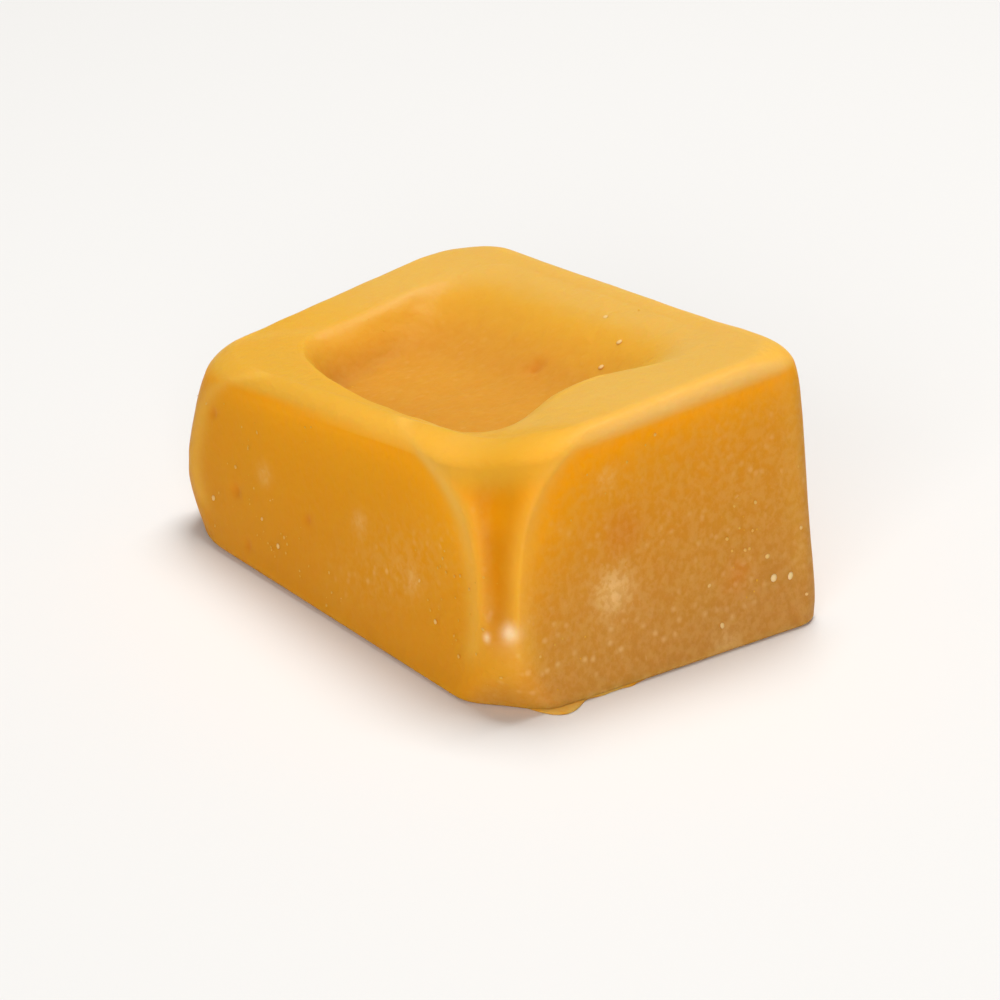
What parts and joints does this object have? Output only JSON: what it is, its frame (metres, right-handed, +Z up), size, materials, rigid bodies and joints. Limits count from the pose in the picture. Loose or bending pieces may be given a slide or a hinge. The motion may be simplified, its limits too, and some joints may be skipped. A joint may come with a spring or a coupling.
{
  "type": "caramel candy",
  "caption": "Soft rectangular block of golden caramel with rounded edges, one grooved corner and a sunken, slanting top.",
  "frame": {"origin": "centre of the flat underside", "axes": "+X along the long side towards the taller end, +Y across towards the taller long side, +Z up"},
  "size_m": [0.0322, 0.0208, 0.0149],
  "materials": {
    "caramel": "satin, slightly translucent golden brown caramel"
  },
  "bodies": {
    "root": {"caramel": "caramel"}
  },
  "joints": []
}
